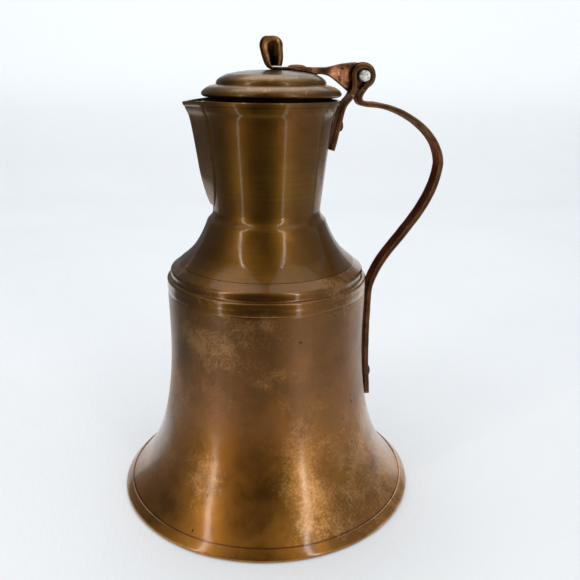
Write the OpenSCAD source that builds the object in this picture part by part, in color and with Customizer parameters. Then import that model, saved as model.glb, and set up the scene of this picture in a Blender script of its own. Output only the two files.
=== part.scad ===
// Lidded copper water jug: a bell-shaped body, a flared neck with a pinched beak,
// a hinged lid with a loop finial, and one long handle strip that also forms the hinge eye.
// Millimetres. Origin at the centre of the underside, +Z up, handle towards +X, beak towards -X.

/* [Body] */
// Largest radius, at the foot
foot_r = 66; // [62:0.5:70]
// Radius of the straight upper part of the bell
waist_r = 42.5; // [41.5:0.1:43]
// Height of the ledge at the top of the bell
ledge_z = 99; // [98.5:0.1:99.5]
// Thickness of the bell's copper sheet
bell_wall = 1; // [0.8:0.05:1.1]
// Thickness of the flat base sheet
base_wall = 0.8; // [0.6:0.05:0.9]
// Width of the base sheet's folded lip, as a fraction of the flare curve
lip_share = 0.14; // [0.1:0.01:0.18]

/* [Neck] */
// Height of the crease between shoulder and neck
crease_z = 122.8; // [122:0.1:124]
// Radius of the narrowest part of the neck
throat_r = 22.6; // [22:0.1:23]
// Height of the rim
rim_z = 171.3; // [170.5:0.1:172]
// Outer radius of the neck sheet at the rim, without its hem
rim_r = 29.4; // [29:0.1:29.8]
// Thickness of the neck's copper sheet
neck_wall = 0.8; // [0.7:0.05:0.9]
// Height of the folded hem at the rim
hem_h = 1.8; // [1.2:0.1:2.4]

/* [Beak] */
// How far the beak stands out from the neck
beak_reach = 2.9; // [2.6:0.1:3.3]
// Radius of the beak's rounded nose
beak_nose = 2; // [1.6:0.1:2.4]
// How far the beak's lip dips at its nose
beak_dip = 0.9; // [0:0.1:1.5]

/* [Lid] */
// Distance of the lid's centre from the jug's axis, towards the hinge
lid_x = 2; // [1.8:0.1:2.2]
// Radius of the lid's rounded brim
brim_r = 28.1; // [27.6:0.1:28.4]
// Height of the underside of the brim above the base
brim_z = 172.5; // [172.4:0.1:173]
// Outer radius of the collar that enters the mouth
collar_r = 24.4; // [23.5:0.1:24.6]
// Height of the lid's flat crown
crown_z = 182.9; // [182.8:0.1:183]

/* [Strips] */
// Width of the handle strip
strip_w = 8; // [7.5:0.1:9]
// Thickness of the handle strip
strip_t = 2.2; // [2:0.05:2.3]
// Width of the lid strap
strap_w = 7; // [6:0.1:7.5]
// Thickness of the lid strap where it lies on the lid
strap_t = 1.1; // [1:0.05:1.5]
// Thickness of the upright tongue at the end of the lid strap
tongue_t = 2.4; // [2:0.1:2.8]
// Width of the loop finial's strip
loop_w = 6; // [5.5:0.1:6.5]
// Turn of the loop finial away from the strap's own plane
loop_turn = 24; // [0:1:30]

/* [Hinge and rivets] */
// Radius of the hinge pin
pin_r = 2.25; // [2.2:0.01:2.3]
// Radial clearance between the pin and the tongue's bore
pin_play = 0.06; // [0.03:0.01:0.09]
// Clearance on each side of the tongue in the hinge slot
slot_play = 0.45; // [0.3:0.05:0.6]
// Height of the lower handle rivet
low_rivet_z = 49.6; // [48:0.1:52]
// Height of the upper handle rivet
top_rivet_z = 161; // [160:0.1:162]
// Distance of the lid rivet from the jug's axis
lid_rivet_x = 12.3; // [11.5:0.1:13]

/* [Hidden] */
$fn = 96;

// Cubic curve through four control points, its normal to the right of travel, and runs of it.
function bez(p, t) = pow(1 - t, 3) * p[0] + 3 * pow(1 - t, 2) * t * p[1]
                   + 3 * (1 - t) * t * t * p[2] + pow(t, 3) * p[3];
function slope(p, t) = pow(1 - t, 2) * (p[1] - p[0]) + 2 * (1 - t) * t * (p[2] - p[1])
                     + t * t * (p[3] - p[2]);
function normal(p, t) = let (d = slope(p, t)) [d[1], -d[0]] / norm(d);
function run(p, off, t0, t1, n) =
    [for (i = [0:n]) let (t = t0 + (t1 - t0) * i / n) bez(p, t) + off * normal(p, t)];
function reverse(a) = [for (i = [len(a) - 1:-1:0]) a[i]];
function arc(c, r, a0, a1, n) =
    [for (i = [0:n]) let (a = a0 + (a1 - a0) * i / n) c + r * [cos(a), sin(a)]];

// Turned profile, as radius and height.
lip_t = 0.5;
flare = [[foot_r - 0.4, base_wall], [60.2, 7.4], [41.1, 18.6], [waist_r, 80]];
ledge_r = 0.8;
ledge_out = 0.4;
roll = [[waist_r - 0.8, ledge_z + 0.1], [40.7, ledge_z + 0.2], [41.6, ledge_z + 1.6],
        [41.3, ledge_z + 3]];
shoulder = [[41.3, ledge_z + 3.3], [35, ledge_z + 8], [30, ledge_z + 10.7], [25.1, crease_z]];
throat = [[25.1, crease_z], [23.6, crease_z + 2], [throat_r + 0.1, crease_z + 1.9],
          [throat_r, crease_z + 4.7]];
neck = [[throat_r, crease_z + 4.7], [28.3, rim_z + 7.2], [27.1, rim_z - 11.1], [rim_r, rim_z]];

// The neck's skirt laps over the top of the bell's shoulder, which is joggled inwards there.
lap_t0 = 0.22;
lap_t1 = 0.42;
joggle = 0.5;
proud = neck_wall - joggle;

// Hinge: centre of the eye, and the pin resting against the eye's right-hand side.
eye_c = [38.75, 181];
eye_in = 2.8;
eye_out = 4.7;
pin_grip = 0.02;
pin_tilt = -16;
pin_c = eye_c + (eye_in - pin_r + pin_grip) * [cos(pin_tilt), sin(pin_tilt)];
tongue_r = 5.3;
tongue_tip = [33.4, 174.6];

module turned(outline) { rotate_extrude() polygon(outline); }
module across(width) { rotate([90, 0, 0]) linear_extrude(width, center = true) children(); }
module band(p, t, n) { polygon(concat(run(p, t / 2, 0, 1, n), reverse(run(p, -t / 2, 0, 1, n)))); }
module copper() { color([0.55, 0.36, 0.22]) children(); }
module forged() { color([0.38, 0.22, 0.15]) children(); }

// A rivet along +Z: domed outer head, shank through the grip, and a flat inner head.
module rivet(dims) {
    shank_r = dims[0];
    head_r = dims[1];
    head_h = dims[2];
    grip = dims[3];
    inner_h = 0.9;
    dome = [for (i = [0:8]) [head_r * cos(90 * i / 8), head_h * sin(90 * i / 8)]];
    turned(concat([[0, 0]], dome));
    translate([0, 0, -grip])
        cylinder(r = shank_r, h = grip + 0.1);
    translate([0, 0, -grip - inner_h])
        cylinder(r = head_r * 0.9, h = inner_h);
}

// Each rivet: shank radius, head radius, head height and grip; then where its outer head sits.
low_rivet = [2, 3.5, 1.9, 4.05];
top_rivet = [1.6, 2.6, 1.8, 4.25];
lid_rivet_size = [1.8, 3.9, 0.9, strap_t + 1.55];
low_seat_x = 46.45;
top_seat_x = 30.15;
top_tilt = 7;
module at_low_rivet() { translate([low_seat_x, 0, low_rivet_z]) rotate([0, 90, 0]) children(); }
module at_top_rivet() {
    translate([top_seat_x, 0, top_rivet_z]) rotate([0, 90 + top_tilt, 0]) children();
}
module at_lid_rivet() { translate([lid_rivet_x, 0, crown_z + strap_t]) children(); }
module shank_hole(dims) { translate([0, 0, -8]) cylinder(r = dims[0], h = 9.5); }

// Bell: foot flare, straight waist, ledge, roll and the lower part of the shoulder.
function bell_outer() = concat(
    run(flare, 0, 0, 1, 26),
    arc([waist_r + ledge_out - ledge_r, ledge_z - ledge_r], ledge_r, 0, 80, 4),
    run(roll, 0, 0.05, 1, 6),
    run(shoulder, 0, 0.02, lap_t0, 6),
    run(shoulder, -joggle, lap_t0 + 0.012, lap_t1, 5));
function bell_inner() = concat(
    run(flare, -bell_wall, 0.04, 1, 26),
    [[waist_r + ledge_out - bell_wall, ledge_z - 1.2]],
    run(roll, -bell_wall, 0.5, 0.95, 3),
    run(shoulder, -bell_wall, 0.03, lap_t0, 6),
    run(shoulder, -joggle - bell_wall, lap_t0 + 0.03, lap_t1, 5));
module bell_body() {
    copper() difference() {
        turned(concat(bell_outer(), reverse(bell_inner())));
        at_low_rivet() shank_hole(low_rivet);
    }
}

// Base: a flat disc whose edge is folded up and over the bell's flange.
module base_plate() {
    edge_r = 0.8;
    copper() turned(concat(
        [[0, 0]],
        arc([foot_r - edge_r, edge_r], edge_r, -90, 0, 5),
        run(flare, lip_t, 0.012, lip_share, 5),
        reverse(run(flare, 0, 0, lip_share, 5)),
        [[0, base_wall]]));
}

// Neck: skirt over the shoulder, sharp crease, flared neck and hemmed rim, open behind the beak.
hem_t0 = 1 - hem_h / (3 * (neck[3][1] - neck[2][1]));
beak_gap = 31;
function neck_outer() = concat(
    run(shoulder, proud, lap_t0 + 0.012, lap_t1, 5),
    run(shoulder, 0, lap_t1 + 0.1, 1, 10),
    run(throat, 0, 0.1, 1, 5),
    run(neck, 0, 0.04, 1, 20));
function neck_inner() = concat(
    run(shoulder, -joggle, lap_t0 + 0.012, lap_t1, 5),
    run(shoulder, -neck_wall, lap_t1 + 0.1, 0.96, 10),
    run(throat, -neck_wall, 0.2, 1, 5),
    run(neck, -neck_wall, 0.04, 1, 20));
module rim_hem() {
    hem_t = 0.45;
    rotate([0, 0, beak_gap - 180])
        rotate_extrude(angle = 360 - 2 * beak_gap)
            polygon(concat(run(neck, hem_t, hem_t0, 1, 3), reverse(run(neck, -0.1, hem_t0, 1, 3))));
}
module beak_opening() {
    outline = [[-12.5, rim_z + 2], [-10.5, 140], [-6.5, 133.5], [6.5, 133.5], [10.5, 140],
               [12.5, rim_z + 2]];
    translate([-20, 0, 0])
        rotate([90, 0, -90])
            linear_extrude(20)
                polygon(outline);
}
module neck_shell() {
    copper() difference() {
        union() {
            turned(concat(neck_outer(), reverse(neck_inner())));
            rim_hem();
        }
        beak_opening();
        at_top_rivet() shank_hole(top_rivet);
    }
}

// Beak: at each height the sheet runs straight from the neck, tangent to it, to a rounded nose.
beak_foot_z = crease_z + 4.2;
beak_run = 19;
beak_wall = 0.85;
beak_lap = 0.5;
beak_flange = 3;
beak_lean = 0.026;
beak_rows = 18;
beak_half = 9;
function beak_out(z) = beak_reach * sin(90 * min(1, max(0, (z - beak_foot_z) / beak_run)))
                     + beak_lean * max(0, z - beak_foot_z - beak_run);
// Radius, at azimuth a from the beak's middle, of the hull of a circle and the nose circle.
function pinched(big_r, nose_c, nose_r, a) =
    let (b = acos((big_r - nose_r) / nose_c))
    let (touch = atan2(nose_r * sin(b), nose_c + nose_r * cos(b)))
    abs(a) >= b ? big_r
    : abs(a) > touch ? big_r / cos(b - abs(a))
    : nose_c * cos(a) + sqrt(pow(nose_r, 2) - pow(nose_c * sin(a), 2));
function beak_row_t(i) = 0.015 + 0.985 * i / beak_rows;
function beak_point(i, j, inner) =
    let (base = bez(neck, beak_row_t(i)), z = base[1])
    let (lap = beak_lap * min(1, 0.3 + (z - beak_foot_z) / 8))
    let (big_r = base[0] + lap, nose_c = big_r + beak_out(z) - beak_nose)
    let (reach = acos((big_r - beak_nose) / nose_c) + beak_flange)
    let (s = j / beak_half, a = reach * sign(s) * pow(abs(s), 1.4))
    let (outer_r = pinched(big_r, nose_c, beak_nose, a))
    let (skin_r = pinched(big_r - beak_wall, nose_c, beak_nose - beak_wall, a))
    let (r = inner ? max(base[0], skin_r) : outer_r)
    let (drop = beak_dip * pow(i / beak_rows, 9) * pow(1 - abs(s), 2))
    [-r * cos(a), -r * sin(a), z - drop];
module spout_beak() {
    cols = 2 * beak_half + 1;
    shell = (beak_rows + 1) * cols;
    points = [for (k = [0:1]) for (i = [0:beak_rows]) for (j = [-beak_half:beak_half])
              beak_point(i, j, k == 1)];
    function at(k, i, j) = k * shell + i * cols + j;
    skins = [for (i = [0:beak_rows - 1]) for (j = [0:cols - 2]) each [
             [at(0, i, j), at(0, i + 1, j), at(0, i + 1, j + 1)],
             [at(0, i, j), at(0, i + 1, j + 1), at(0, i, j + 1)],
             [at(1, i, j), at(1, i + 1, j + 1), at(1, i + 1, j)],
             [at(1, i, j), at(1, i, j + 1), at(1, i + 1, j + 1)]]];
    sides = [for (i = [0:beak_rows - 1]) each [
             [at(0, i, 0), at(1, i, 0), at(1, i + 1, 0)],
             [at(0, i, 0), at(1, i + 1, 0), at(0, i + 1, 0)],
             [at(0, i, cols - 1), at(1, i + 1, cols - 1), at(1, i, cols - 1)],
             [at(0, i, cols - 1), at(0, i + 1, cols - 1), at(1, i + 1, cols - 1)]]];
    ends = [for (j = [0:cols - 2]) each [
            [at(0, 0, j), at(0, 0, j + 1), at(1, 0, j + 1)],
            [at(0, 0, j), at(1, 0, j + 1), at(1, 0, j)],
            [at(0, beak_rows, j), at(1, beak_rows, j + 1), at(0, beak_rows, j + 1)],
            [at(0, beak_rows, j), at(1, beak_rows, j), at(1, beak_rows, j + 1)]]];
    copper() polyhedron(points = points, faces = concat(skins, sides, ends), convexity = 6);
}

// Lid: low crown, stepped down by a cove to a rolled brim that turns under.
lid_wall = 0.9;
crown = [[0, crown_z], [9, crown_z], [13, crown_z - 0.6], [18.2, crown_z - 1.8]];
haunch = [[18.6, crown_z - 2], [21, crown_z - 3.1], [22.2, crown_z - 4], [22.2, crown_z - 5.5]];
brim = [[22.9, brim_z + 4.6], [brim_r - 2.1, brim_z + 4.4], [brim_r + 2.5, brim_z + 1],
        [brim_r - 1.5, brim_z]];
module lid_dome() {
    turn_in = 25.4;
    outer = concat(run(crown, 0, 0, 1, 8), run(haunch, 0, 0, 1, 7), run(brim, 0, 0, 1, 14));
    inner = concat(run(crown, lid_wall, 0, 1, 8), run(haunch, lid_wall, 0.05, 0.75, 7),
                   run(brim, lid_wall, 0.15, 0.95, 14));
    copper() difference() {
        translate([lid_x, 0, 0])
            turned(concat(outer, [[turn_in, brim_z], [turn_in, brim_z + lid_wall]],
                          reverse(inner)));
        at_lid_rivet() shank_hole(lid_rivet_size);
    }
}

// Collar: a plain ring under the lid that drops into the mouth.
module lid_collar() {
    collar_wall = 0.8;
    collar_drop = 5.5;
    collar_h = collar_drop + 3.8;
    copper() translate([lid_x, 0, brim_z - collar_drop]) difference() {
        cylinder(r = collar_r, h = collar_h);
        translate([0, 0, -1])
            cylinder(r = collar_r - collar_wall, h = collar_h + 2);
    }
}

// Lid strap: loop finial, flat run over the lid, and an upright fan-shaped tongue with its bore.
loop_r = 4.45;
loop_t = 2.3;
loop_c = [2.5, 190.9];
loop_end_z = 184.4;
strap_top = crown_z + strap_t;
strap_drop = 1.6;
tongue_upper = [[23.6, strap_top], [27, strap_top + 0.3], [30, strap_top + 2.2], pin_c + [-1, 5.2]];
tongue_lower = [[20.8, crown_z - strap_drop], [26.5, crown_z - 1.3], [27.5, 178.5], tongue_tip];
module loop_outline() {
    inner_r = loop_r - loop_t;
    root = [loop_c[0], crown_z];
    difference() {
        translate(loop_c) circle(r = loop_r);
        translate(loop_c) circle(r = inner_r);
        translate(loop_c - [10, 20]) square([20, 20]);
    }
    polygon([loop_c - [loop_r, 0], loop_c - [inner_r, 0], root + [-0.2, 1.2], root + [-0.2, 0],
             root + [-1.9, 0]]);
    polygon([loop_c + [inner_r, 0], loop_c + [loop_r, 0], [loop_c[0] + 4.3, loop_end_z + 2],
             [loop_c[0] + 3.7, loop_end_z], [loop_c[0] + 2.2, loop_end_z + 0.8]]);
}
module strap_plan() {
    left = loop_c[0] - 1.5;
    taper = [19, 28];
    polygon([[left, -strap_w / 2], [taper[0], -strap_w / 2], [taper[1], -tongue_t / 2],
             [taper[1], tongue_t / 2], [taper[0], strap_w / 2], [left, strap_w / 2]]);
}
// The strap's run over the lid: its underside follows the crown, so it grows thicker outwards.
module strap_run() {
    edge = crown[3];
    under = edge[1] - 3;
    difference() {
        translate([0, 0, crown_z - strap_drop])
            linear_extrude(strap_t + strap_drop)
                strap_plan();
        translate([lid_x, 0, 0])
            turned(concat([[0, under]], run(crown, 0, 0, 1, 8), [[edge[0], under]]));
    }
}
module tongue_outline() {
    polygon(concat([[19.5, strap_top]], run(tongue_upper, 0, 0, 1, 7), [pin_c, pin_c - [0, 5]],
                   reverse(run(tongue_lower, 0, 0, 1, 7)), [[19.5, crown_z - 0.5]]));
    translate(pin_c) circle(r = tongue_r);
}
module lid_strap() {
    forged() difference() {
        union() {
            translate([loop_c[0], 0, 0]) rotate([0, 0, loop_turn]) translate([-loop_c[0], 0, 0])
                across(loop_w) loop_outline();
            strap_run();
            across(tongue_t) tongue_outline();
        }
        translate([pin_c[0], 0, pin_c[1]]) rotate([90, 0, 0])
            cylinder(r = pin_r + pin_play, h = 20, center = true);
        at_lid_rivet() shank_hole(lid_rivet_size);
    }
}

// Handle strip: neck tail, left leg, hinge eye, waist, grip and body tail, all one strip.
neck_tail = [[26.8, 151.4], [28, 155.6], [28.8, 160.4], [30.6, 167.2]];
left_bend = [[30.6, 167.2], [32.2, 172.6], [35.3, 171], [35.35, 178]];
left_leg = [[35.35, 178], [35.35, 179], [35.1, 180], [35, 181]];
right_leg = [[41.3, 178.3], [39.6, 176.2], [37.2, 173.6], [37.8, 171.6]];
right_bend = [[37.8, 171.6], [38.2, 169.8], [41, 169.8], [44, 169.6]];
grip_top = [[44, 169.6], [55.8, 168.8], [73.3, 159], [74, 145.1]];
grip_low = [[74, 145.1], [72, 119.6], [44.3, 106.6], [45.3, 86]];
body_tail = [[45.3, 86], [44.9, 70], [45, 58], [46.7, 39.4]];
module strip_outline() {
    for (p = [neck_tail, left_bend, right_leg, right_bend])
        band(p, strip_t, 12);
    for (p = [grip_top, grip_low])
        band(p, strip_t, 28);
    band(body_tail, strip_t, 10);
    band(left_leg, eye_out - eye_in, 4);
    difference() {
        intersection() {
            translate(eye_c) circle(r = eye_out);
            polygon(concat([eye_c], arc(eye_c, 2 * eye_out, -50, 185, 7)));
        }
        translate(eye_c) circle(r = eye_in);
    }
}
module hinge_slot() {
    reach = tongue_r + slot_play;
    across(tongue_t + 2 * slot_play) {
        translate(pin_c) circle(r = reach);
        polygon([pin_c, pin_c + [-12, 4], tongue_tip + [-6, 2], tongue_tip + [-1, -0.9],
                 tongue_tip + [2.2, -0.5], pin_c - [0, reach]]);
    }
}
module handle_strip() {
    forged() difference() {
        across(strip_w) strip_outline();
        hinge_slot();
        at_low_rivet() shank_hole(low_rivet);
        at_top_rivet() shank_hole(top_rivet);
    }
}

// Pin and rivets.
module hinge_pin() {
    end = 0.6;
    color([0.72, 0.72, 0.7]) translate([pin_c[0], 0, pin_c[1]]) rotate([90, 0, 0])
        cylinder(r = pin_r, h = strip_w + 2 * end, center = true);
}
module neck_rivet() { forged() at_top_rivet() rivet(top_rivet); }
module body_rivet() { forged() at_low_rivet() rivet(low_rivet); }
module lid_rivet() { forged() at_lid_rivet() rivet(lid_rivet_size); }

bell_body();
base_plate();
neck_shell();
spout_beak();
lid_dome();
lid_collar();
lid_strap();
lid_rivet();
handle_strip();
hinge_pin();
neck_rivet();
body_rivet();
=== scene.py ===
"""Looks of the lidded copper water jug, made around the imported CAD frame.

Lengths in the shape functions are millimetres, and new_piece() turns them into metres.
The frame: origin at the centre of the underside, +Z up, handle towards +X, beak towards -X.
"""
import math

import bmesh
import bpy
import numpy as np
from mathutils import Matrix, Vector, noise


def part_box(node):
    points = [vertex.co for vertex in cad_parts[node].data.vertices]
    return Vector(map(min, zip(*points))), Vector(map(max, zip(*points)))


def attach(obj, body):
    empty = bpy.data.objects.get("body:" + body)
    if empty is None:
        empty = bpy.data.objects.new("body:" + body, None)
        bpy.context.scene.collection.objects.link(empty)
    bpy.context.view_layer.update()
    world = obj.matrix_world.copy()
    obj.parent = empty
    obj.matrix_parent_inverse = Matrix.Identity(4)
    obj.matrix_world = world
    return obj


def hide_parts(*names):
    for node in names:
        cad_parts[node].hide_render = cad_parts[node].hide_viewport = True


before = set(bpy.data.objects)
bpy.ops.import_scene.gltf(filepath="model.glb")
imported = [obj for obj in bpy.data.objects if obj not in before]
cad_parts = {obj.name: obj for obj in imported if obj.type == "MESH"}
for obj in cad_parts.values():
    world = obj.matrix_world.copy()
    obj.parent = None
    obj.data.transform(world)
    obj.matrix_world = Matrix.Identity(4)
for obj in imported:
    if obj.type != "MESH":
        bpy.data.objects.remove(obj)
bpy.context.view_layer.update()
MM = 0.001


def node_box(node):
    """Lowest and highest corner of a CAD node, in millimetres."""
    low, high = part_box(node)
    return np.array(low) / MM, np.array(high) / MM


# ---- Driving dimensions, read from the frame where the frame has them
FOOT_R = node_box("base_plate")[1][0]
RIM_Z = node_box("neck_shell")[1][2] - 0.2
LID_LOW, LID_HIGH = node_box("lid_dome")
COLLAR_LOW, COLLAR_HIGH = node_box("lid_collar")
HANDLE_LOW, HANDLE_HIGH = node_box("handle_strip")
PIN_LOW, PIN_HIGH = node_box("hinge_pin")

CREASE_Z = RIM_Z - 48.5
LEDGE_Z = RIM_Z - 72.3
WAIST_R = 42.5
THROAT_R = 22.6
RIM_R = 29.4
BELL_WALL = 1.0
NECK_WALL = 0.8
BASE_WALL = 0.8

LID_X = (LID_LOW[0] + LID_HIGH[0]) / 2
BRIM_R = (LID_HIGH[0] - LID_LOW[0]) / 2
BRIM_Z = LID_LOW[2]
CROWN_Z = LID_HIGH[2]
LID_WALL = 0.9

STRIP_W = HANDLE_HIGH[1] - HANDLE_LOW[1]
STRIP_T = 2.2
STRAP_T = 1.1
TONGUE_T = 2.4
SLOT_W = 3.3
EYE_IN = 2.8
EYE_OUT = 4.7
PIN = np.array([(PIN_LOW[0] + PIN_HIGH[0]) / 2, (PIN_LOW[2] + PIN_HIGH[2]) / 2])
PIN_R = (PIN_HIGH[0] - PIN_LOW[0]) / 2
PIN_TILT = math.radians(-16)
EYE = PIN - 0.57 * np.array([math.cos(PIN_TILT), math.sin(PIN_TILT)])
LOOP_TURN = math.radians(36)
BEAK_GAP = 31
TURNS = 240
LIP_SHARE = 0.14


# ---- Curves, as (radius, height) or (x, height) points
def bez(p, t):
    """Points of the cubic curve with control points p at the parameters t."""
    p, t = np.array(p, float), np.atleast_1d(t)[:, None]
    return ((1 - t) ** 3 * p[0] + 3 * (1 - t) ** 2 * t * p[1]
            + 3 * (1 - t) * t * t * p[2] + t ** 3 * p[3])


def normals(p, t):
    """Unit normals to the right of travel."""
    p, t = np.array(p, float), np.atleast_1d(t)[:, None]
    d = (1 - t) ** 2 * (p[1] - p[0]) + 2 * (1 - t) * t * (p[2] - p[1]) + t * t * (p[3] - p[2])
    return np.stack([d[:, 1], -d[:, 0]], 1) / np.linalg.norm(d, axis=1)[:, None]


def run(p, off=0.0, t0=0.0, t1=1.0, n=24):
    """Points along a stretch of the curve, moved off to the right of travel."""
    t = np.linspace(t0, t1, n + 1)
    return bez(p, t) + off * normals(p, t)


def arc(centre, radius, a0, a1, n=8):
    """Points of a circle's arc between two angles in degrees."""
    a = np.radians(np.linspace(a0, a1, n + 1))
    return np.array(centre) + radius * np.stack([np.cos(a), np.sin(a)], 1)


def ease(x):
    """Smooth step from 0 to 1."""
    x = np.clip(x, 0, 1)
    return x * x * (3 - 2 * x)


FLARE = [[FOOT_R - 0.4, BASE_WALL], [60.2, 7.4], [41.1, 18.6], [WAIST_R, 80]]
FOLD_R = float(bez(FLARE, LIP_SHARE)[0][0])
LEDGE_OUT = 0.4
ROLL = [[WAIST_R - 0.8, LEDGE_Z + 0.1], [40.7, LEDGE_Z + 0.2], [41.6, LEDGE_Z + 1.6],
        [41.3, LEDGE_Z + 3]]
SHOULDER = [[41.3, LEDGE_Z + 3.3], [35, LEDGE_Z + 8], [30, LEDGE_Z + 10.7], [25.1, CREASE_Z]]
THROAT = [[25.1, CREASE_Z], [23.6, CREASE_Z + 2], [THROAT_R + 0.1, CREASE_Z + 1.9],
          [THROAT_R, CREASE_Z + 4.7]]
NECK = [[THROAT_R, CREASE_Z + 4.7], [28.3, RIM_Z + 7.2], [27.1, RIM_Z - 11.1], [RIM_R, RIM_Z]]
HEM_Z = float(bez(NECK, 0.95)[0][1])
LAP_T0 = 0.22
LAP_T1 = 0.42
JOGGLE = 0.5
CROWN = [[0, CROWN_Z], [9, CROWN_Z], [13, CROWN_Z - 0.6], [18.2, CROWN_Z - 1.8]]
HAUNCH = [[18.6, CROWN_Z - 2], [21, CROWN_Z - 3.1], [22.2, CROWN_Z - 4], [22.2, CROWN_Z - 5.5]]
BRIM = [[22.9, BRIM_Z + 4.6], [BRIM_R - 2.1, BRIM_Z + 4.4], [BRIM_R + 2.5, BRIM_Z + 1],
        [BRIM_R - 1.5, BRIM_Z]]
NECK_TAIL = [[26.8, 151.4], [28, 155.6], [28.8, 160.4], [30.6, 167.2]]
LEFT_BEND = [[30.6, 167.2], [32.2, 172.6], [35.3, 171], [35.35, 178]]
LEFT_LEG = [[35.35, 178], [35.35, 179], [35.1, 180], [35, 181]]
RIGHT_LEG = [[41.3, 178.3], [39.6, 176.2], [37.2, 173.6], [37.8, 171.6]]
RIGHT_BEND = [[37.8, 171.6], [38.2, 169.8], [41, 169.8], [44, 169.6]]
GRIP_TOP = [[44, 169.6], [55.8, 168.8], [73.3, 159], [74, 145.1]]
GRIP_LOW = [[74, 145.1], [72, 119.6], [44.3, 106.6], [45.3, 86]]
BODY_TAIL = [[45.3, 86], [44.9, 70], [45, 58], [46.7, 39.4]]


# ---- Mesh helpers
def ripple(point, size, seed=0.0):
    """Smooth noise from -1 to 1 whose bumps are about size millimetres wide."""
    return noise.noise(Vector(point) / size + Vector((seed, 7.3 * seed, 3.1 * seed)))


def new_piece(name, points, faces, body, materials, face_material=None, sharp=35):
    """A mesh object in metres, smooth apart from edges sharper than sharp degrees, riding on body."""
    mesh = bpy.data.meshes.new(name)
    mesh.from_pydata([tuple(c * MM for c in p) for p in points], [], faces)
    bm = bmesh.new()
    bm.from_mesh(mesh)
    if face_material is not None:
        bm.faces.ensure_lookup_table()
        for face, index in zip(bm.faces, face_material):
            face.material_index = int(index)
    bmesh.ops.remove_doubles(bm, verts=bm.verts, dist=1e-7)
    bmesh.ops.recalc_face_normals(bm, faces=bm.faces)
    for face in bm.faces:
        face.smooth = True
    for edge in bm.edges:
        edge.smooth = len(edge.link_faces) == 2 and edge.calc_face_angle(0) < math.radians(sharp)
    bm.to_mesh(mesh)
    bm.free()
    for material in materials:
        mesh.materials.append(material)
    piece = bpy.data.objects.new(name, mesh)
    bpy.context.scene.collection.objects.link(piece)
    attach(piece, body)
    return piece


def grid_faces(rows, cols, close_rows=False, close_cols=False):
    """Quads between neighbouring rows of a grid of points, each row cols long."""
    faces = []
    for i in range(rows if close_rows else rows - 1):
        for j in range(cols if close_cols else cols - 1):
            a, b = i * cols + j, i * cols + (j + 1) % cols
            c, d = ((i + 1) % rows) * cols + (j + 1) % cols, ((i + 1) % rows) * cols + j
            faces.append((a, b, c, d))
    return faces


def lathe(outline, centre_x=0.0, shape=None, a0=0.0, a1=360.0, turns=TURNS):
    """Points and faces of a closed outline turned about the upright line through centre_x."""
    full = a1 - a0 >= 360
    angles = np.radians(np.linspace(a0, a1, turns + (0 if full else 1), endpoint=not full))
    points = []
    for angle in angles:
        for r, z in outline:
            if shape and r > 1e-6:
                r, z = shape(angle, r, z)
            points.append((centre_x + r * math.cos(angle), r * math.sin(angle), z))
    faces = grid_faces(len(angles), len(outline), close_rows=full, close_cols=True)
    if not full:
        faces.append(tuple(range(len(outline))))
        faces.append(tuple(range(len(points) - 1, len(points) - len(outline) - 1, -1)))
    return points, faces


def hand_spun(amount, size, seed):
    """A shape for lathe(): the slight unevenness of sheet that was worked by hand."""
    def shape(angle, r, z):
        p = (r * math.cos(angle), r * math.sin(angle), z)
        return r + amount * ripple(p, size, seed), z + 0.4 * amount * ripple(p, size, seed + 5)
    return shape


def cut(piece, points, faces):
    """Takes a closed mesh, in millimetres, away from piece, and applies the result."""
    mesh = bpy.data.meshes.new("cutter")
    mesh.from_pydata([tuple(c * MM for c in p) for p in points], [], faces)
    bm = bmesh.new()
    bm.from_mesh(mesh)
    bmesh.ops.recalc_face_normals(bm, faces=bm.faces)
    bm.to_mesh(mesh)
    bm.free()
    cutter = bpy.data.objects.new("cutter", mesh)
    bpy.context.scene.collection.objects.link(cutter)
    modifier = piece.modifiers.new("cut", "BOOLEAN")
    modifier.operation = "DIFFERENCE"
    modifier.solver = "EXACT"
    modifier.object = cutter
    bpy.context.view_layer.update()
    graph = bpy.context.evaluated_depsgraph_get()
    made = bpy.data.meshes.new_from_object(piece.evaluated_get(graph))
    piece.modifiers.clear()
    piece.data = made
    bpy.data.objects.remove(cutter)
    return piece


def prism(outline, low, high, axis):
    """A closed prism: outline in the other two axes, from low to high along axis (0, 1 or 2)."""
    others = [i for i in range(3) if i != axis]
    points = []
    for end in (low, high):
        for u, v in outline:
            p = [0.0, 0.0, 0.0]
            p[axis], p[others[0]], p[others[1]] = end, u, v
            points.append(tuple(p))
    n = len(outline)
    faces = [(i, (i + 1) % n, n + (i + 1) % n, n + i) for i in range(n)]
    return points, faces + [tuple(range(n)), tuple(range(2 * n - 1, n - 1, -1))]


def rounded_section(half_w, half_t, radius, per_corner=4):
    """A rectangle's outline with round corners, as (across the width, across the thickness)."""
    radius = min(radius, half_w * 0.98, half_t * 0.98)
    flat = [0.8 * (half_t - radius), 0.8 * (half_w - radius)]
    ways = np.array([(0, 1), (-1, 0), (0, -1), (1, 0)])
    points = []
    for k, (su, sv) in enumerate([(1, 1), (-1, 1), (-1, -1), (1, -1)]):
        centre = (su * (half_w - radius), sv * (half_t - radius))
        bend = arc(centre, radius, 90 * k, 90 * k + 90, per_corner)
        before, after = min(0.35, flat[k % 2]), min(0.35, flat[(k + 1) % 2])
        points += [bend[0] - before * ways[k], *bend, bend[-1] + after * ways[(k + 1) % 4]]
    return np.array(points)


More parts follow.
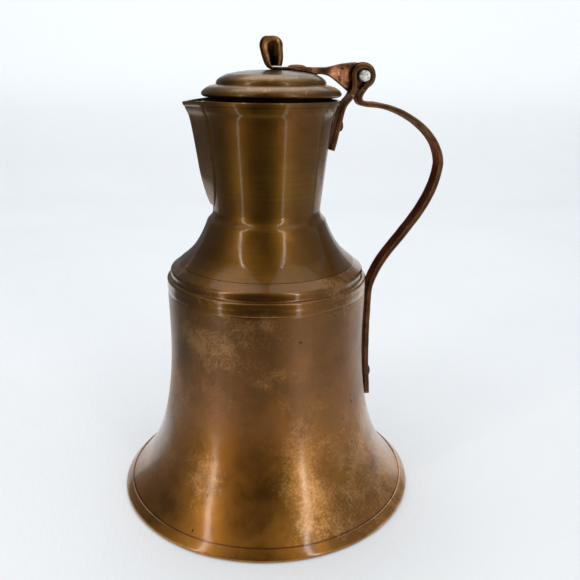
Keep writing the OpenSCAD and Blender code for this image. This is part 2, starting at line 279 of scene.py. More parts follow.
def sweep(stations, radius=0.5):
    """A forged bar. Each station is centre, thickness direction, width direction, half width, half
    thickness, all in the row frame; the bar is closed at both ends."""
    points, count = [], 0
    for centre, up, side, half_w, half_t in stations:
        section = rounded_section(half_w, half_t, radius)
        count = len(section)
        for u, v in section:
            points.append(tuple(np.array(centre) + u * np.array(side) + v * np.array(up)))
    faces = grid_faces(len(stations), count, close_cols=True)
    last = (len(stations) - 1) * count
    return points, faces + [tuple(range(count)), tuple(range(last + count - 1, last - 1, -1))]


def hammered(points, amount, size, seed):
    """The points moved by the dents of a hammer."""
    out = []
    for p in points:
        d = [amount * ripple(p, size, seed + k) for k in (1, 2, 3)]
        out.append(tuple(c + m for c, m in zip(p, d)))
    return out


def joined(parts):
    """Several (points, faces) as one."""
    points, faces = [], []
    for some_points, some_faces in parts:
        start = len(points)
        points.extend(some_points)
        faces.extend(tuple(i + start for i in face) for face in some_faces)
    return points, faces


# ---- Materials
class Shader:
    """A node material, with short calls for adding and joining its nodes."""

    def __init__(self, name, **constants):
        self.material = bpy.data.materials.new(name)
        self.material.use_nodes = True
        self.tree = self.material.node_tree
        self.surface = self.tree.nodes["Principled BSDF"]
        for key, value in constants.items():
            self.surface.inputs[key.replace("_", " ")].default_value = value
        self.place = self.add("ShaderNodeTexCoord").outputs["Object"]

    def add(self, kind, **values):
        node = self.tree.nodes.new(kind)
        for key, value in values.items():
            if hasattr(node, key):
                setattr(node, key, value)
            else:
                node.inputs[key.replace("_", " ")].default_value = value
        return node

    def join(self, output, target):
        self.tree.links.new(output, target)

    def noise(self, scale, detail=4.0, rough=0.6, stretch=(1, 1, 1), turn=(0, 0, 0)):
        """Noise from 0 to 1, scale bumps to the metre, stretched along the row axes."""
        mapping = self.add("ShaderNodeMapping")
        mapping.inputs["Scale"].default_value = stretch
        mapping.inputs["Rotation"].default_value = turn
        self.join(self.place, mapping.inputs["Vector"])
        made = self.add("ShaderNodeTexNoise", Scale=scale, Detail=detail, Roughness=rough)
        self.join(mapping.outputs["Vector"], made.inputs["Vector"])
        return made.outputs["Fac"]

    def math(self, operation, a, b=None, clamp=False):
        node = self.add("ShaderNodeMath", operation=operation, use_clamp=clamp)
        for socket, value in zip(node.inputs, (a, b)):
            if value is None:
                continue
            if isinstance(value, (int, float)):
                socket.default_value = value
            else:
                self.join(value, socket)
        return node.outputs["Value"]

    def ramp(self, value, low, high, out_low=0.0, out_high=1.0):
        """value taken smoothly from the range low..high to out_low..out_high."""
        node = self.add("ShaderNodeMapRange", interpolation_type="SMOOTHSTEP")
        for key, number in (("From Min", low), ("From Max", high), ("To Min", out_low),
                            ("To Max", out_high)):
            node.inputs[key].default_value = number
        self.join(value, node.inputs["Value"])
        return node.outputs["Result"]

    def mix(self, factor, a, b):
        """Colour a where factor is 0 and b where it is 1."""
        node = self.add("ShaderNodeMix", data_type="RGBA")
        for index, value in ((0, factor), (6, a), (7, b)):
            if isinstance(value, tuple):
                node.inputs[index].default_value = (*value, 1.0)
            elif isinstance(value, (int, float)):
                node.inputs[index].default_value = value
            else:
                self.join(value, node.inputs[index])
        return node.outputs[2]

    def z(self):
        """Height above the base, in metres."""
        node = self.add("ShaderNodeSeparateXYZ")
        self.join(self.place, node.inputs["Vector"])
        return node.outputs["Z"]

    def radius(self):
        """Distance from the jug's axis, in metres."""
        flat = self.add("ShaderNodeVectorMath", operation="MULTIPLY")
        flat.inputs[1].default_value = (1, 1, 0)
        self.join(self.place, flat.inputs[0])
        node = self.add("ShaderNodeVectorMath", operation="LENGTH")
        self.join(flat.outputs["Vector"], node.inputs[0])
        return node.outputs["Value"]

    def near(self, point, inner, outer):
        """1 within inner millimetres of a point in the row frame, falling to 0 at outer."""
        node = self.add("ShaderNodeVectorMath", operation="DISTANCE")
        node.inputs[1].default_value = tuple(c * MM for c in point)
        self.join(self.place, node.inputs[0])
        return self.ramp(node.outputs["Value"], inner * MM, outer * MM, 1.0, 0.0)

    def window(self, value, middle, half):
        """1 where value is at middle, falling to 0 at half either side."""
        off = self.math("ABSOLUTE", self.math("SUBTRACT", value, middle))
        return self.ramp(off, 0.0, half, 1.0, 0.0)

    def rings(self, per_metre):
        """Noise that changes with height only: the lines that spinning leaves."""
        node = self.add("ShaderNodeTexNoise", noise_dimensions="1D", Scale=per_metre, Detail=3.0,
                        Roughness=0.7)
        self.join(self.z(), node.inputs["W"])
        return node.outputs["Fac"]

    def bump(self, parts):
        """One bump from several (value, depth in metres)."""
        total = None
        for value, depth in parts:
            term = self.math("MULTIPLY", value, depth)
            total = term if total is None else self.math("ADD", total, term)
        node = self.add("ShaderNodeBump", Strength=1.0, Distance=1.0)
        self.join(total, node.inputs["Height"])
        self.join(node.outputs["Normal"], self.surface.inputs["Normal"])

    def finish(self, colour, roughness):
        self.join(colour, self.surface.inputs["Base Color"])
        self.join(roughness, self.surface.inputs["Roughness"])
        return self.material


OLIVE = (0.28, 0.135, 0.018)
UMBER = (0.19, 0.082, 0.009)
RUSSET = (0.34, 0.13, 0.03)
AMBER = (0.62, 0.24, 0.032)
BARE = (0.85, 0.44, 0.15)
# Near-black: the real pits and dark specks, and also painted shade at the foot's fold, under the rim hem
# and on the lid.
SOOT_AND_SHADE = (0.03, 0.018, 0.01)
OILED = {"Metallic": 1.0, "Coat_Weight": 1.0, "Coat_IOR": 1.5}


def body_copper():
    """Brown patina worn through to copper in clouds of fine specks, with a few black pits."""
    s = Shader("body_copper", **OILED)
    cloud = s.noise(24, 8.0, 0.68)
    drift = s.noise(11, 2.0, 0.5, turn=(0.7, 0.2, 1.1))
    speck = s.noise(900, 3.0, 0.7)
    colour = s.mix(s.ramp(drift, 0.38, 0.62), OLIVE, UMBER)
    blush = s.ramp(s.noise(17, 3.0, 0.6, turn=(0.3, 1.2, 0.4)), 0.44, 0.66, 0, 0.6)
    colour = s.mix(blush, colour, RUSSET)
    colour = s.mix(s.ramp(s.z(), 0.02, 0.085, 0.55, 0.12), colour, AMBER)
    stains = s.ramp(s.noise(30, 8.0, 0.72, turn=(1.1, 0.5, 0.3)), 0.42, 0.6, 0.0, 0.62)
    colour = s.mix(stains, colour, UMBER)
    worn = s.math("ADD", cloud, s.math("MULTIPLY", s.math("SUBTRACT", speck, 0.5), 0.35))
    worn = s.ramp(worn, 0.5, 0.68)
    handled = s.ramp(s.z(), 0.012, 0.045, 0.75, 0.5)
    colour = s.mix(s.math("MULTIPLY", worn, handled), colour, BARE)
    pits = s.ramp(s.noise(260, 2.0, 0.5), 0.735, 0.77)
    colour = s.mix(pits, colour, SOOT_AND_SHADE)
    smear = s.ramp(s.noise(45, 4.0, 0.7, turn=(0.9, 0.3, 0.2)), 0.35, 0.7, 0.0, 0.12)
    waist = s.math("MULTIPLY", s.ramp(s.z(), 0.03, 0.05), s.ramp(s.z(), 0.0925, 0.0935, 1.0, 0.0))
    sheen = s.math("ADD", smear, s.math("ADD", 0.09, s.math("MULTIPLY", waist, 0.25)))
    rough = s.math("ADD", s.ramp(s.noise(60, 4.0, 0.7), 0.3, 0.7, 0.34, 0.46),
                   s.math("MULTIPLY", waist, 0.14))
    s.join(s.math("ADD", sheen, s.math("MULTIPLY", worn, 0.08)), s.surface.inputs["Coat Roughness"])
    # Painted shade: a dark line along the crease where the foot's folded lip edge meets the bell.
    fold_shade = s.window(s.radius(), FOLD_R * MM - 0.0002, 0.0003)
    colour = s.mix(s.math("MULTIPLY", fold_shade, 0.8), colour, SOOT_AND_SHADE)
    s.bump([(s.noise(420, 4.0, 0.65), 0.00007), (s.noise(70, 2.0, 0.5), 0.00014),
            (s.rings(700), 0.00001), (pits, -0.0002)])
    return s.finish(colour, rough)


def neck_copper():
    """Smoother brown patina with the fine rings of spinning."""
    s = Shader("neck_copper", Metallic=1.0, Coat_Weight=0.65, Coat_IOR=1.5)
    rings = s.rings(900)
    colour = s.mix(s.ramp(s.noise(30, 3.0, 0.55), 0.35, 0.65), OLIVE, UMBER)
    blush = s.ramp(s.noise(40, 4.0, 0.65, turn=(0.4, 0.9, 0.2)), 0.5, 0.75, 0, 0.6)
    colour = s.mix(blush, colour, RUSSET)
    colour = s.mix(s.ramp(rings, 0.42, 0.6, 0, 0.4), colour, UMBER)
    rough = s.ramp(s.noise(50, 4.0, 0.7), 0.3, 0.7, 0.36, 0.48)
    sheen = s.ramp(s.noise(90, 4.0, 0.7), 0.3, 0.7, 0.08, 0.15)
    # Painted shadow: a thin dark band on the neck just under the lower edge of the rim hem.
    hem_shade = s.window(s.z(), HEM_Z * MM - 0.0003, 0.0003)
    colour = s.mix(s.math("MULTIPLY", hem_shade, 0.7), colour, SOOT_AND_SHADE)
    s.join(sheen, s.surface.inputs["Coat Roughness"])
    s.bump([(s.noise(500, 4.0, 0.65), 0.00002), (rings, 0.00006), (s.noise(60, 2.0, 0.5), 0.00008)])
    return s.finish(colour, rough)


def lid_copper():
    """Rubbed brown copper, marked by fingers and fine scratches."""
    s = Shader("lid_copper", Metallic=1.0, Coat_Weight=0.6, Coat_IOR=1.5)
    colour = s.mix(s.ramp(s.noise(45, 3.0, 0.6), 0.35, 0.65), OLIVE, UMBER)
    colour = s.mix(s.ramp(s.noise(70, 4.0, 0.7, turn=(0.1, 0.8, 0.5)), 0.5, 0.75, 0, 0.4), colour, BARE)
    scratch = s.ramp(s.noise(300, 3.0, 0.6, stretch=(1, 0.07, 1), turn=(0, 0, 0.5)), 0.6, 0.72)
    colour = s.mix(s.math("MULTIPLY", scratch, 0.3), colour, BARE)
    # Painted shade: the whole lid is darkened a quarter of the way to near-black and the top of the
    # crown most of the way, toning down its reflection of the bright surroundings.
    crown_shade = s.ramp(s.z(), (CROWN_Z - 3.5) * MM, (CROWN_Z - 0.8) * MM, 0.25, 0.85)
    colour = s.mix(crown_shade, colour, SOOT_AND_SHADE)
    rough = s.ramp(s.noise(80, 4.0, 0.7), 0.3, 0.7, 0.4, 0.54)
    sheen = s.ramp(s.noise(120, 4.0, 0.7), 0.3, 0.7, 0.12, 0.26)
    s.join(sheen, s.surface.inputs["Coat Roughness"])
    s.bump([(s.noise(380, 4.0, 0.6), 0.00006), (s.noise(110, 2.0, 0.5), 0.00015),
            (s.noise(1100, 2.0, 0.6), 0.00005)])
    return s.finish(colour, rough)


def strip_copper():
    """Forged strip: dark red oxide, bare copper where it is handled, hammer dents."""
    s = Shader("strip_copper", Metallic=1.0, Coat_Weight=0.05, Coat_Roughness=0.3,
               Specular_Tint=(0.5, 0.34, 0.26, 1))
    colour = s.mix(s.ramp(s.noise(90, 4.0, 0.65), 0.35, 0.65), (0.1, 0.04, 0.019), (0.045, 0.021, 0.011))
    rubbed = s.ramp(s.noise(55, 5.0, 0.75, turn=(0.6, 0.1, 0.9)), 0.48, 0.7)
    colour = s.mix(s.math("MULTIPLY", rubbed, 0.5), colour, (0.26, 0.095, 0.045))
    dents = s.ramp(s.noise(260, 3.0, 0.7, turn=(0.2, 0.7, 0.4)), 0.36, 0.56)
    tongue = ((29.5, 0, 179.5), 3.5, 6.5, 0.9, (0.62, 0.27, 0.15))
    # The loop's patch sits on the loop's front: partly worn copper, partly a painted highlight on the
    # side facing the front.
    loop = ((2.4, -4.5, 190.5), 3.0, 6.5, 0.75, (0.48, 0.25, 0.07))
    lid_run = ((14.5, 0, CROWN_Z + 1), 4.0, 8.0, 0.6, (0.36, 0.16, 0.08))
    for point, inner, outer, share, tone in (tongue, loop, lid_run):
        patch = s.math("MULTIPLY", s.near(point, inner, outer), dents)
        colour = s.mix(s.math("MULTIPLY", patch, share), colour, tone)
    worn = s.add("ShaderNodeAttribute", attribute_name="worn").outputs["Fac"]
    wear = s.math("MULTIPLY", worn, s.ramp(s.noise(220, 3.0, 0.6), 0.3, 0.6, 0.25, 1))
    colour = s.mix(s.math("MULTIPLY", wear, 0.8), colour, (0.45, 0.24, 0.11))
    colour = s.mix(s.ramp(s.noise(500, 2.0, 0.6), 0.62, 0.72), colour, SOOT_AND_SHADE)
    rough = s.ramp(s.noise(150, 4.0, 0.7), 0.3, 0.7, 0.3, 0.5)
    s.bump([(s.noise(600, 4.0, 0.65), 0.00008), (s.noise(200, 2.0, 0.5), 0.0002)])
    return s.finish(colour, rough)


def inner_copper():
    """Unpolished inside: dull dark oxide."""
    s = Shader("inner_copper", Metallic=1.0)
    colour = s.mix(s.ramp(s.noise(35, 4.0, 0.6), 0.35, 0.65), (0.04, 0.022, 0.01), (0.02, 0.012, 0.007))
    rough = s.ramp(s.noise(90, 4.0, 0.7), 0.3, 0.7, 0.42, 0.6)
    s.bump([(s.noise(300, 4.0, 0.65), 0.0001), (s.rings(500), 0.00005)])
    return s.finish(colour, rough)


def pin_metal():
    """Silver-grey pin end, flattened by the hammer, with darker scale in its dents."""
    s = Shader("pin_metal", Metallic=0.7)
    colour = s.mix(s.ramp(s.noise(900, 4.0, 0.6), 0.42, 0.6), (0.8, 0.82, 0.78), (0.24, 0.24, 0.2))
    rough = s.ramp(s.noise(700, 3.0, 0.6), 0.3, 0.7, 0.25, 0.5)
    s.bump([(s.noise(700, 3.0, 0.6), 0.0003), (s.noise(300, 2.0, 0.5), 0.0005)])
    return s.finish(colour, rough)


def floor_cloth():
    """Pale plain floor with the faintest weave."""
    s = Shader("floor_cloth", Metallic=0.0)
    colour = s.mix(s.noise(9, 3.0, 0.5), (0.77, 0.785, 0.8), (0.73, 0.745, 0.76))
    # Painted light: the cloth is painted lighter where it rises from the floor into the wall.
    colour = s.mix(s.ramp(s.z(), 0.02, 0.2), colour, (0.93, 0.95, 0.96))
    rough = s.ramp(s.noise(300, 2.0, 0.5), 0.3, 0.7, 0.8, 0.95)
    s.bump([(s.noise(550, 2.0, 0.5, stretch=(1, 0.3, 1)), 0.0002)])
    return s.finish(colour, rough)


BODY = body_copper()
NECK_METAL = neck_copper()
LID_METAL = lid_copper()
STRIP = strip_copper()
INSIDE = inner_copper()
PIN_METAL = pin_metal()


# ---- Jug body
def turned_piece(name, outer, inner, body, metal, centre_x=0.0, shape=None):
    """Sheet turned from an outer and an inner run of points, both going up; the inside is dull."""
    outline = [tuple(p) for p in outer] + [tuple(p) for p in inner][::-1]
    points, faces = lathe(outline, centre_x, shape)
    cols = len(outline)
    dull = [1 if len(outer) <= i % cols < cols - 1 else 0 for i in range(len(faces))]
    return new_piece(name, points, faces, body, [metal, INSIDE], dull)


def turned_lines(r, z, lines):
    """The radius r, cut or raised by lines turned into the sheet: (height, depth, half width)."""
    return r + sum(depth * math.exp(-((z - at) / half) ** 2) for at, depth, half in lines)


def bell():
    """Bell, from the foot flare up to the joggled edge that the neck's skirt laps over."""
    wall_lines = [(LEDGE_Z - 5.6, -0.14, 0.3), (LEDGE_Z - 2.5, -0.06, 0.3), (LEDGE_Z - 4, 0.1, 1.2)]
    unevenness = hand_spun(0.1, 26, 1.0)

    def shape(angle, r, z):
        return unevenness(angle, turned_lines(r, z, wall_lines), z)

    top = WAIST_R + LEDGE_OUT
    wall_z = np.linspace(80.8, LEDGE_Z - 1, 60)
    outer = np.concatenate([
        run(FLARE, 0, 0, 1, 90),
        np.stack([np.interp(wall_z, (80, LEDGE_Z - 0.8), (WAIST_R, top)), wall_z], 1),
        arc([top - 0.8, LEDGE_Z - 0.8], 0.8, 0, 80, 6),
        run(ROLL, 0, 0.05, 1, 14),
        run(SHOULDER, 0, 0.02, LAP_T0, 12),
        run(SHOULDER, -JOGGLE, LAP_T0 + 0.012, LAP_T1, 8)])
    inner = np.concatenate([
        run(FLARE, -BELL_WALL, 0.04, 1, 60),
        [[top - BELL_WALL, LEDGE_Z - 1.2]],
        run(ROLL, -BELL_WALL, 0.5, 0.95, 6),
        run(SHOULDER, -BELL_WALL, 0.03, LAP_T0, 8),
        run(SHOULDER, -JOGGLE - BELL_WALL, LAP_T0 + 0.03, LAP_T1, 6)])
    piece = turned_piece("bell_copper", outer, inner, "jug", BODY, shape=shape)
    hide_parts("bell_body")


def foot():
    """Base sheet, folded up over the bell's flange."""
    lip_t = 0.5
    edge_r = 0.8
    outline = np.concatenate([
        [[0, 0], [FOOT_R - 8, 0]],
        arc([FOOT_R - edge_r, edge_r], edge_r, -90, 0, 8),
        run(FLARE, lip_t, 0.012, LIP_SHARE - 0.006, 12),
        run(FLARE, 0.5 * lip_t, LIP_SHARE, LIP_SHARE, 1)[:1],
        run(FLARE, -0.05, 0.0, LIP_SHARE, 10)[::-1],
        [[0, BASE_WALL]]])
    points, faces = lathe([tuple(p) for p in outline], shape=hand_spun(0.08, 18, 2.0))
    cols = len(outline)
    dull = [1 if i % cols >= cols - 2 else 0 for i in range(len(faces))]
    piece = new_piece("foot_fold", points, faces, "jug", [BODY, INSIDE], dull)
    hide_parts("base_plate")


def neck():
    """Skirt, crease and flared neck, cut open behind the beak."""
    proud = 0.14
    outer = np.concatenate([
        run(SHOULDER, proud, LAP_T0 + 0.004, LAP_T1, 10),
        run(SHOULDER, 0, LAP_T1 + 0.1, 1, 30),
        run(THROAT, 0, 0.1, 1, 12),
        run(NECK, 0, 0.03, 1, 60)])
    inner = np.concatenate([
        run(SHOULDER, -JOGGLE, LAP_T0 + 0.004, LAP_T1, 6),
        run(SHOULDER, -NECK_WALL, LAP_T1 + 0.1, 0.96, 14),
        run(THROAT, -NECK_WALL, 0.2, 1, 8),
        run(NECK, -NECK_WALL, 0.04, 1, 30)])
    piece = turned_piece("neck_copper", outer, inner, "jug", NECK_METAL,
                         shape=hand_spun(0.045, 22, 3.0))
    opening = [(-12.5, RIM_Z + 2), (-10.5, 140), (-6.5, 133.5), (6.5, 133.5), (10.5, 140),
               (12.5, RIM_Z + 2)]
    cut(piece, *prism(opening, -40, -18, 0))
    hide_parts("neck_shell")


def rim_hem():
    """The rim's edge, folded down on the outside, from one side of the beak round to the other."""
    hem_t = 0.45
    top = 1.0
    low = 0.95
    outline = np.concatenate([
        run(NECK, 0.12, low - 0.004, low - 0.004, 1)[:1],
        run(NECK, hem_t, low, top - 0.004, 6),
        run(NECK, 0.2, top, top, 1)[:1] + [0, 0.15],
        run(NECK, -0.5, top, top, 1)[:1] + [0, 0.12],
        run(NECK, -0.1, low, top, 4)[::-1]])
    points, faces = lathe([tuple(p) for p in outline], shape=hand_spun(0.045, 22, 3.0),
                          a0=BEAK_GAP - 180, a1=180 - BEAK_GAP, turns=200)
    new_piece("rim_hem", points, faces, "jug", [NECK_METAL])


def pinched(big_r, nose_c, nose_r, a):
    """Radius, at azimuth a from the beak's middle, of the hull of the neck's circle and the nose's."""
    b = math.acos((big_r - nose_r) / nose_c)
    touch = math.atan2(nose_r * math.sin(b), nose_c + nose_r * math.cos(b))
    if abs(a) >= b:
        return big_r
    if abs(a) > touch:
        return big_r / math.cos(b - abs(a))
    return nose_c * math.cos(a) + math.sqrt(nose_r ** 2 - (nose_c * math.sin(a)) ** 2)


def beak():
    """Pouring lip: rows of the neck's circle drawn out to a rounded nose."""
    reach_out, lean, nose, dip, wall, flange = 2.9, 0.026, 2.0, 0.9, 0.85, math.radians(3)
    foot_z, rise = CREASE_Z + 4.2, 19.0
    rows, half = 90, 40
    cols = 2 * half + 1
    skins = [[], []]
    for i in range(rows + 1):
        base_r, z = bez(NECK, 0.015 + 0.985 * i / rows)[0]
        lap = 0.42 * min(1, 0.3 + (z - foot_z) / 8)
        hem = 0.35 * float(ease((z - RIM_Z + 2.0) / 0.35))
        out = (reach_out * math.sin(math.pi / 2 * min(1, max(0, (z - foot_z) / rise)))
               + lean * max(0, z - foot_z - rise))
        for j in range(-half, half + 1):
            s = j / half
            edge = float(ease((1 - abs(s)) / 0.14))
            big_r = base_r - 0.15 + (lap + 0.15) * edge
            nose_c = base_r + lap + out - nose
            reach = math.acos((base_r + lap - nose) / nose_c) + flange
            a = reach * math.copysign(abs(s) ** 1.4, s)
            outer_r = pinched(big_r, nose_c, nose, a) + hem * edge
            inner_r = max(base_r - 0.02, pinched(big_r - wall, nose_c, nose - wall, a))
            top = z - dip * (i / rows) ** 9 * (1 - abs(s)) ** 2
            skins[0].append((-outer_r * math.cos(a), -outer_r * math.sin(a), top))
            skins[1].append((-inner_r * math.cos(a), -inner_r * math.sin(a), top))
    size = (rows + 1) * cols
    skin = grid_faces(rows + 1, cols)
    faces = skin + [tuple(v + size for v in face[::-1]) for face in skin]
    dull = [0] * len(skin) + [1] * len(skin)
    for low in (0, rows * cols):
        for j in range(cols - 1):
            faces.append((low + j, low + j + 1, size + low + j + 1, size + low + j))
            dull.append(0)
    for side in (0, cols - 1):
        for i in range(rows):
            a, b = i * cols + side, (i + 1) * cols + side
            faces.append((a, b, size + b, size + a))
            dull.append(0)
    points = hammered(skins[0] + skins[1], 0.06, 12, 4.0)
    piece = new_piece("beak_copper", points, faces, "jug", [NECK_METAL, INSIDE], dull)
    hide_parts("spout_beak")


# ---- Lid
def lid():
    """Low crown, cove and rolled brim."""
    turn_in = 25.4
    outer = np.concatenate([run(CROWN, 0, 0, 1, 24), run(HAUNCH, 0, 0, 1, 16), run(BRIM, 0, 0, 1, 36),
                            [[turn_in, BRIM_Z]]])
    inner = np.concatenate([run(CROWN, LID_WALL, 0, 1, 12), run(HAUNCH, LID_WALL, 0.05, 0.75, 8),
                            run(BRIM, LID_WALL, 0.15, 0.95, 16), [[turn_in, BRIM_Z + LID_WALL]]])
    outer[0][0] = inner[0][0] = 0
    piece = turned_piece("lid_copper", outer, inner, "lid", LID_METAL, LID_X,
                         hand_spun(0.12, 9, 5.0))
    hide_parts("lid_dome")


def collar():
    """Plain ring that drops into the mouth."""
    r = (COLLAR_HIGH[0] - COLLAR_LOW[0]) / 2
    low, high = COLLAR_LOW[2], COLLAR_HIGH[2]
    outline = [(r, high), (r, low + 0.3), (r - 0.2, low), (r - 0.6, low), (r - 0.8, low + 0.3),
               (r - 0.8, high)]
    points, faces = lathe(outline, LID_X, hand_spun(0.06, 14, 6.0))
    piece = new_piece("lid_ring", points, faces, "lid", [INSIDE])
    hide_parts("lid_collar")


# ---- Forged strips
def flat_path(p, n):
    """Centres and normals of curve p in the plane y = 0, as pairs of (x, z)."""
    t = np.linspace(0, 1, n + 1)
    return list(zip(bez(p, t), normals(p, t)))


def bar_stations(path, y, half_w, half_t):
    """Stations of a bar of one width along a path of (centre, normal), centred on y."""
    return [((c[0], y, c[1]), (n[0], 0, n[1]), (0, 1, 0), half_w, half_t) for c, n in path]


def mark_worn(piece, limit=0.55):
    """Stores how close each vertex is to an edge of a bar, as the attribute worn."""
    mesh = piece.data
    bm = bmesh.new()
    bm.from_mesh(mesh)
    sharp = {}
    for v in bm.verts:
        spread = [e.calc_face_angle(0) for e in v.link_edges if len(e.link_faces) == 2]
        sharp[v.index] = min(1.0, max(spread, default=0) / limit)
    bm.free()
    attribute = mesh.attributes.new("worn", "FLOAT", "POINT")
    attribute.data.foreach_set("value", [sharp[i] for i in range(len(mesh.vertices))])


def handle():
    """One strip: neck tail, hinge eye with its slot, grip and body tail."""
    eye_mid = (EYE_IN + EYE_OUT) / 2
    eye_half = (EYE_OUT - EYE_IN) / 2
    angles = np.radians(np.linspace(180, -48, 60))
    ring = [(EYE + eye_mid * np.array([math.cos(a), math.sin(a)]),
             np.array([-math.cos(a), -math.sin(a)])) for a in angles]
    left = flat_path(NECK_TAIL, 20) + flat_path(LEFT_BEND, 24)[1:]
    right = flat_path(RIGHT_LEG, 20)
    slot_left = 36
    slot_right = 9
    ear_path = left[slot_left:] + flat_path(LEFT_LEG, 6)[1:-1] + ring[:-1] + right[:slot_right + 1]
    ear_half = (STRIP_W - SLOT_W) / 4
    ear_y = (STRIP_W + SLOT_W) / 4
    rest = (right[slot_right:] + flat_path(RIGHT_BEND, 16)[1:] + flat_path(GRIP_TOP, 60)[1:]
            + flat_path(GRIP_LOW, 60)[1:] + flat_path(BODY_TAIL, 40)[1:])
    half_t = STRIP_T / 2
    parts = [sweep(bar_stations(left[:slot_left + 1], 0, STRIP_W / 2, half_t))]
    for side in (-1, 1):
        stations = bar_stations(ear_path, side * ear_y, ear_half, half_t)
        first, last = len(left) - slot_left, len(ear_path) - slot_right - 1
        eased = []
        for i, (c, up, across, w, t) in enumerate(stations):
            inside = ease((i - first + 6) / 6) * ease((last + 4 - i) / 6)
            eased.append((c, up, across, w, t + (eye_half - t) * float(inside)))
        parts.append(sweep(eased, 0.45))
    parts.append(sweep(bar_stations(rest, 0, STRIP_W / 2, half_t)))
    points, faces = joined(parts)
    points = hammered(points, 0.12, 5, 7.0)
    piece = new_piece("handle_forged", points, faces, "jug", [STRIP], sharp=60)
    mark_worn(piece)
    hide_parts("handle_strip")


def strap():
    """Loop finial, flat strap and fan-shaped tongue, forged from one bar."""
    half_t = STRAP_T / 2
    strap_top = CROWN_Z + STRAP_T
    mid_z = CROWN_Z + half_t
    front = -3.2
    top = 191.6
    left_leg = [[2.6, mid_z], [0.3, mid_z + 0.2], [-0.1, 187], [-0.75, top]]
    right_leg = [[5.55, top], [5.75, 189], [5.95, 187], [5.35, 184.5]]
    over = [(np.array([2.4, top]) + np.array([3.15 * math.cos(a), 2.75 * math.sin(a)]),
             np.array([-math.cos(a), -math.sin(a)])) for a in np.radians(np.linspace(172, 8, 26))]
    path = flat_path(left_leg, 24) + over + flat_path(right_leg, 16)
    stations = []
    for i, (c, n) in enumerate(path):
        s = i / (len(path) - 1)
        turn = LOOP_TURN * float(ease(s / 0.9))
        half_w = 3.4 - 1.3 * float(ease(s / 0.3)) + 1.6 * float(ease((s - 0.36) / 0.36))
        thick = half_t + 0.65 * float(ease(s / 0.3)) - 0.25 * float(ease((s - 0.6) / 0.4))
        side = np.array([-math.sin(turn), math.cos(turn), 0])
        level = np.array([math.cos(turn), math.sin(turn), 0])
        up = n[0] * level + np.array([0, 0, n[1]])
        centre = np.array([c[0], front, c[1]]) + half_w * side
        stations.append((centre, up, side, half_w, thick))
    loop = sweep(stations, 0.55)

    tongue_r = 5.3
    tip = [33.4, 174.6]
    low_edge = [[20.8, CROWN_Z - 1.6], [26.5, CROWN_Z - 1.3], [27.5, 178.5], tip]
    top_edge = [[23.6, strap_top], [27, strap_top + 0.3], [30, strap_top + 2.2],
                [PIN[0] - 1, PIN[1] + 5.2]]
    low_curve, top_curve = (bez(edge, np.linspace(0, 1, 200)) for edge in (low_edge, top_edge))
    under = run(CROWN, 0, 0, 1, 40)
    blade = []
    for x in np.linspace(2.0, PIN[0] + 5.25, 110):
        low = float(np.interp(x - LID_X, *under.T)) if x < 20.2 else float(np.interp(x, *low_curve.T))
        high = float(np.interp(x, *top_curve.T))
        if x > tip[0]:
            reach = math.sqrt(max(tongue_r ** 2 - (x - PIN[0]) ** 2, 0.3))
            share = float(ease((x - tip[0]) / 2.5))
            low += (PIN[1] - reach - low) * share
            high = high + (PIN[1] + reach - high) * float(ease((x - 36.0) / 2.0))
        half_w = 3.5 + (TONGUE_T / 2 - 3.5) * float(ease((x - 17) / 11))
        blade.append(((x, 0, (low + high) / 2), (0, 0, 1), (0, 1, 0), half_w, (high - low) / 2))
    points, faces = joined([loop, sweep(blade, 0.5)])
    points = hammered(points, 0.13, 4, 8.0)
    piece = new_piece("lid_strap_forged", points, faces, "lid", [STRIP], sharp=60)
    mark_worn(piece)
    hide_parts("lid_strap")


def rivet_head(name, node, body, place, direction, head_r, head_h, seed):
    """A hammered rivet head standing on place, pointing along direction, with its shank's stub."""
    outline = [(0, -1.2), (head_r * 0.75, -1.2), (head_r * 0.95, -0.1)]
    outline += [(head_r * math.cos(a), head_h * math.sin(a)) for a in np.radians(np.linspace(4, 90, 12))]
    points, faces = lathe(outline, turns=48)
    points = hammered(points, 0.3, 2.6, seed)
    turn = Vector((0, 0, 1)).rotation_difference(Vector(direction)).to_matrix()
    points = [tuple(Vector(place) + turn @ Vector(p)) for p in points]
    piece = new_piece(name, points, faces, body, [STRIP], sharp=50)
    mark_worn(piece)
    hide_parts(node)


def rivets():
    """The heads on the body tail, on the neck tail and on the lid strap."""
    low, high = node_box("body_rivet")
    cad_head_h = 1.9
    seat = (high[0] - cad_head_h, 0, (low[2] + high[2]) / 2)
    rivet_head("body_rivet_head", "body_rivet", "jug", seat, (1, 0, 0), 3.4, 1.85, 11.0)
    tilt = math.radians(7)
    outward = (math.cos(tilt), 0, -math.sin(tilt))
    rivet_head("neck_rivet_head", "neck_rivet", "jug", (30.15, 0, 161), outward, 2.5, 1.75, 12.0)
    low, high = node_box("lid_rivet")
    seat = ((low[0] + high[0]) / 2, 0, CROWN_Z + STRAP_T)
    rivet_head("lid_rivet_head", "lid_rivet", "lid", seat, (0, 0, 1), 3.8, 0.9, 13.0)


def pin():
    """The hinge pin, its ends spread a little by peening."""
    half = (PIN_HIGH[1] - PIN_LOW[1]) / 2
    outline = [(0, -half)]
    outline += [(PIN_R - 0.35 + 0.35 * math.sin(a), -half + 0.35 - 0.35 * math.cos(a))
                for a in np.radians(np.linspace(0, 90, 6))]
    outline += [(r, -z) for r, z in outline[::-1]]
    points, faces = lathe(outline, turns=64)
    points = [(PIN[0] + x, z, PIN[1] + y) for x, y, z in points]
    points = hammered(points, 0.05, 1.6, 9.0)
    piece = new_piece("hinge_pin_peened", points, faces, "jug", [PIN_METAL], sharp=50)
    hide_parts("hinge_pin")


# ---- Studio
CAMERA_YAW = math.radians(8.08)
CAMERA_PITCH = math.radians(18.31)
CAMERA_ROLL = math.radians(0.552)
CAMERA_DISTANCE = 0.2969
CAMERA_AIM = Vector((0.0103, 0.0, 0.0902))
FRONT_LEFT = -48
FRONT_RIGHT = 31


